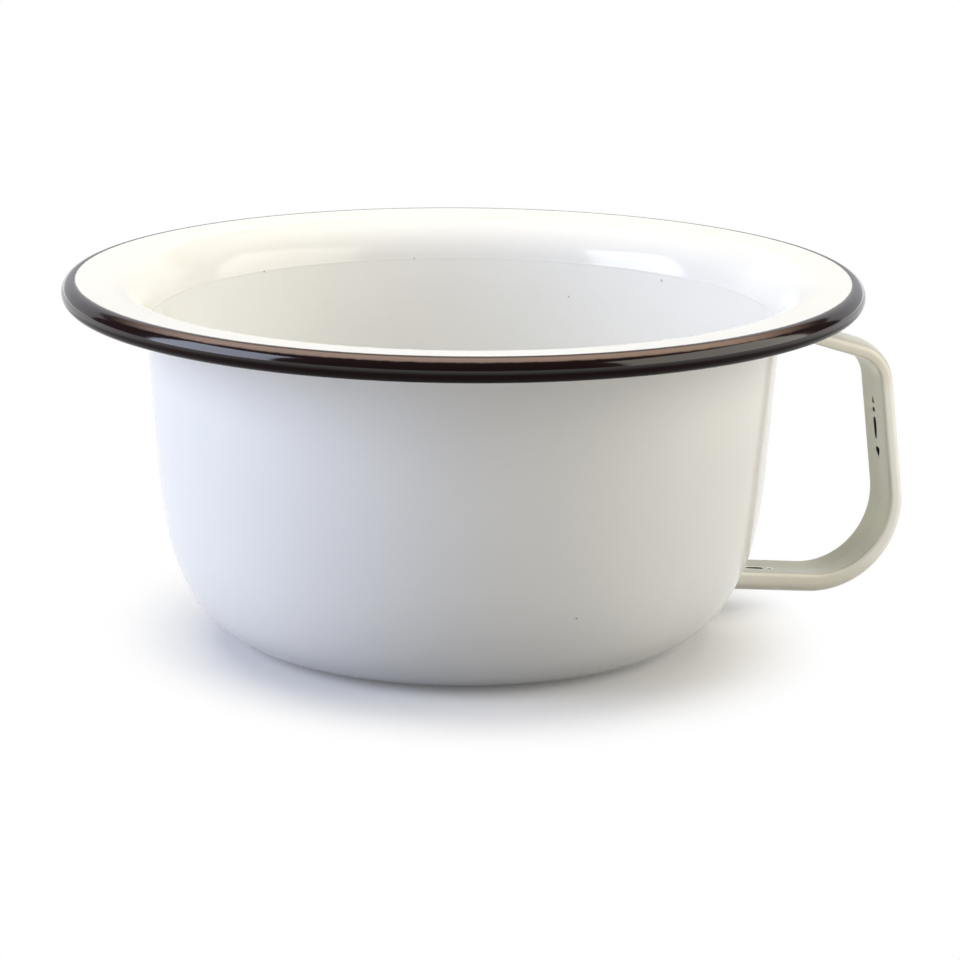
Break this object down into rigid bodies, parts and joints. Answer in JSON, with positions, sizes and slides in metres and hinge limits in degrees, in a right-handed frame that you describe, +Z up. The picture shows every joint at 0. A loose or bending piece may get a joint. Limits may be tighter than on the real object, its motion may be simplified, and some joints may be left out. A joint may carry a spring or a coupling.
{
  "type": "chamber pot",
  "caption": "Round enamelled steel chamber pot: deep white bowl with a wide flared flange, a dark curled rim and a cream strap handle on one side.",
  "frame": {"origin": "middle of the ring that the pot stands on, on the bowl's axis at table level", "axes": "+Z up along the bowl's axis, +X from the axis out through the middle of the handle, +Y across the handle"},
  "size_m": [0.2869, 0.26, 0.119],
  "materials": {
    "white_enamel": "gloss vitreous enamel, white",
    "rim_enamel": "gloss vitreous enamel, dark brown to black",
    "handle_enamel": "gloss vitreous enamel, cream",
    "weld_enamel": "gloss vitreous enamel over the weld, cream"
  },
  "bodies": {
    "root": {"pot_body": "white_enamel", "rim_bead": "rim_enamel", "handle": "handle_enamel", "upper_weld_over": "weld_enamel", "upper_weld_under": "weld_enamel", "lower_weld_over": "weld_enamel", "lower_weld_under": "weld_enamel"}
  },
  "joints": []
}
